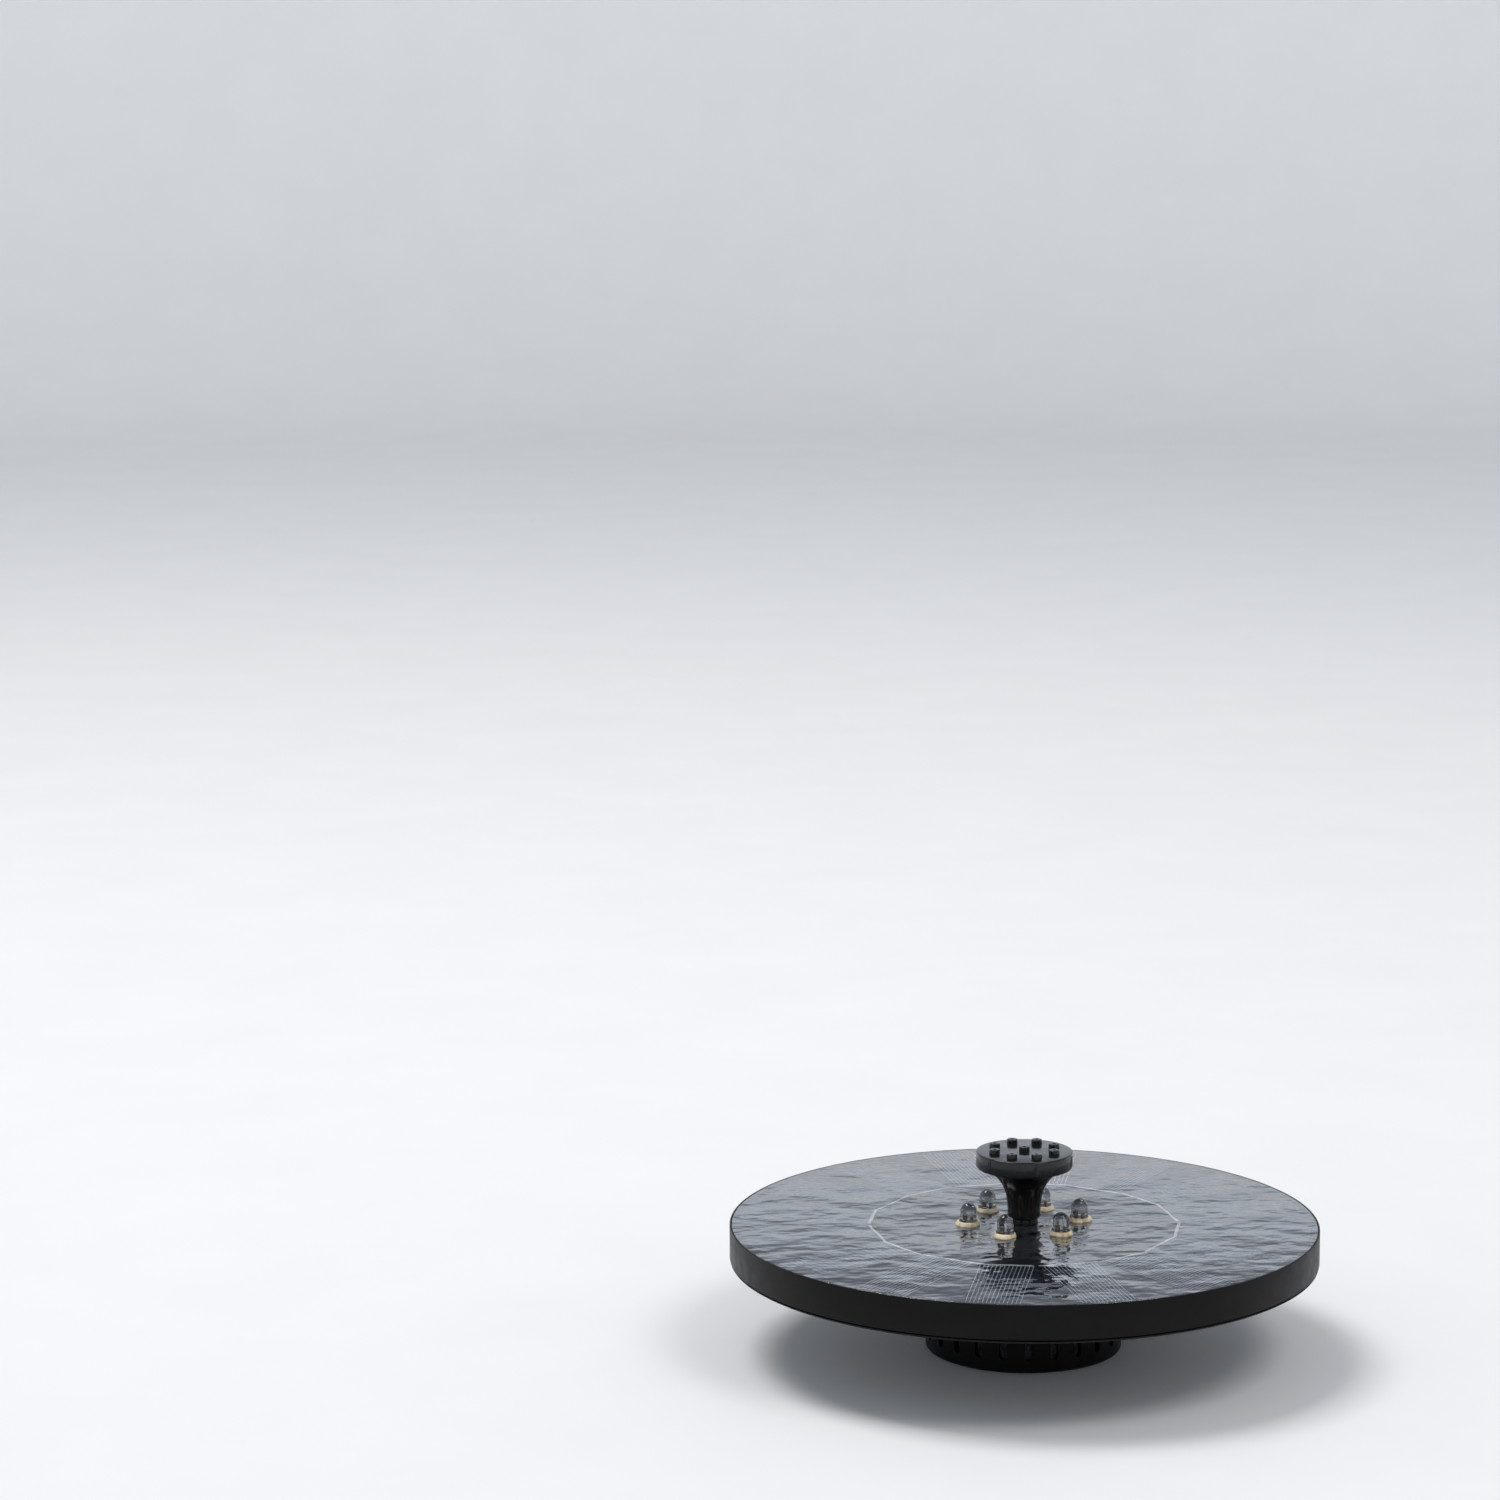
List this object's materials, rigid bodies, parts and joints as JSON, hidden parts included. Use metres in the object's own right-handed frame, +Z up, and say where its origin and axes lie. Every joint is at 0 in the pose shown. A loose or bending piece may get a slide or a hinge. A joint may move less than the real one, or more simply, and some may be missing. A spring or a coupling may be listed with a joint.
{
  "type": "floating solar fountain pump",
  "caption": "Round floating solar fountain: a black float disc with a solar panel and lamps on top, a submersible pump in a slotted basket below, and a trumpet-shaped spray head.",
  "frame": {"origin": "centre of the base: the underside of the strainer basket, on the disc's axis", "axes": "+Z up along the riser and the spray head, +X through the first lamp, the pump's rotor axis runs along X"},
  "size_m": [0.18, 0.18, 0.0629],
  "materials": {
    "black_abs": "satin moulded ABS with a fine grain",
    "nozzle_abs": "satin moulded ABS, a little smoother",
    "clear_laminate": "clear glossy laminate, slightly wavy",
    "silicon": "dark blue-black crystalline silicon, glossy",
    "tinned_copper": "tinned copper ribbon, satin",
    "black_board": "black solder mask",
    "clear_epoxy": "water-clear lamp epoxy",
    "cream_seal": "cream hot-melt seal, semi-gloss",
    "rubber": "matte black rubber",
    "foam": "dark open-cell foam",
    "pouch_foil": "aluminised pouch foil",
    "green_board": "green solder mask",
    "steel": "bright steel",
    "copper": "enamelled copper wire",
    "ferrite": "bonded ferrite, semi-matte",
    "ceramic": "polished white ceramic",
    "white_nylon": "white nylon",
    "potting_resin": "black potting resin"
  },
  "bodies": {
    "float": {"deck_tray": "black_abs", "lower_hull": "black_abs", "hull_seal": "rubber", "foam_ring": "foam", "panel_cover": "clear_laminate", "solar_cell_01": "silicon", "solar_cell_02": "silicon", "solar_cell_03": "silicon", "solar_cell_04": "silicon", "solar_cell_05": "silicon", "solar_cell_06": "silicon", "solar_cell_07": "silicon", "solar_cell_08": "silicon", "solar_cell_09": "silicon", "solar_cell_10": "silicon", "solar_cell_11": "silicon", "solar_cell_12": "silicon", "solar_cell_13": "silicon", "solar_cell_14": "silicon", "solar_cell_15": "silicon", "solar_cell_16": "silicon", "bus_ribbon_1": "tinned_copper", "bus_ribbon_2": "tinned_copper", "bus_ribbon_3": "tinned_copper", "bus_ribbon_4": "tinned_copper", "cell_board": "black_board", "led_1": "clear_epoxy", "led_2": "clear_epoxy", "led_3": "clear_epoxy", "led_4": "clear_epoxy", "led_5": "clear_epoxy", "led_6": "clear_epoxy", "led_seal_1": "cream_seal", "led_seal_2": "cream_seal", "led_seal_3": "cream_seal", "led_seal_4": "cream_seal", "led_seal_5": "cream_seal", "led_seal_6": "cream_seal", "battery_pack": "pouch_foil", "control_board": "green_board", "pump_lead": "rubber", "button_switch": "steel", "pump_body": "black_abs", "stator_core": "steel", "stator_coil": "copper", "potting_plug": "potting_resin", "pump_shaft": "ceramic", "rear_bushing": "rubber", "pump_screw_1": "steel", "pump_screw_2": "steel"},
    "rotor": {"impeller": "white_nylon", "rotor_magnet": "ferrite"},
    "pump_cover": {"volute_cover": "black_abs", "front_bushing": "rubber"},
    "strainer": {"strainer_basket": "black_abs", "filter_sponge": "foam"},
    "riser": {"riser_tube": "nozzle_abs"},
    "nozzle": {"nozzle_cone": "nozzle_abs"},
    "spray_cap": {"spray_cap": "nozzle_abs"},
    "button": {"power_button": "rubber"}
  },
  "joints": [
    {"name": "rotor_spin", "type": "hinge", "parent": "float", "child": "rotor", "pos_m": [0, -0.0055, 0.0129], "axis": [1, 0, 0], "continuous": true},
    {"name": "cover_pull", "type": "slide", "parent": "float", "child": "pump_cover", "axis": [1, 0, 0], "range_m": [0, 0.009]},
    {"name": "strainer_turn", "type": "hinge", "parent": "float", "child": "strainer", "pos_m": [0, 0, 0.012], "axis": [0, 0, 1], "range_deg": [0, 20]},
    {"name": "riser_pull", "type": "slide", "parent": "float", "child": "riser", "axis": [0, 0, 1], "range_m": [0, 0.02]},
    {"name": "nozzle_turn", "type": "hinge", "parent": "riser", "child": "nozzle", "pos_m": [0, 0, 0.05], "axis": [0, 0, 1], "continuous": true},
    {"name": "cap_pull", "type": "slide", "parent": "nozzle", "child": "spray_cap", "axis": [0, 0, 1], "range_m": [0, 0.012]},
    {"name": "button_press", "type": "slide", "parent": "float", "child": "button", "axis": [0, 0, 1], "range_m": [0, 0.001], "stiffness_N_per_m": 1500}
  ]
}
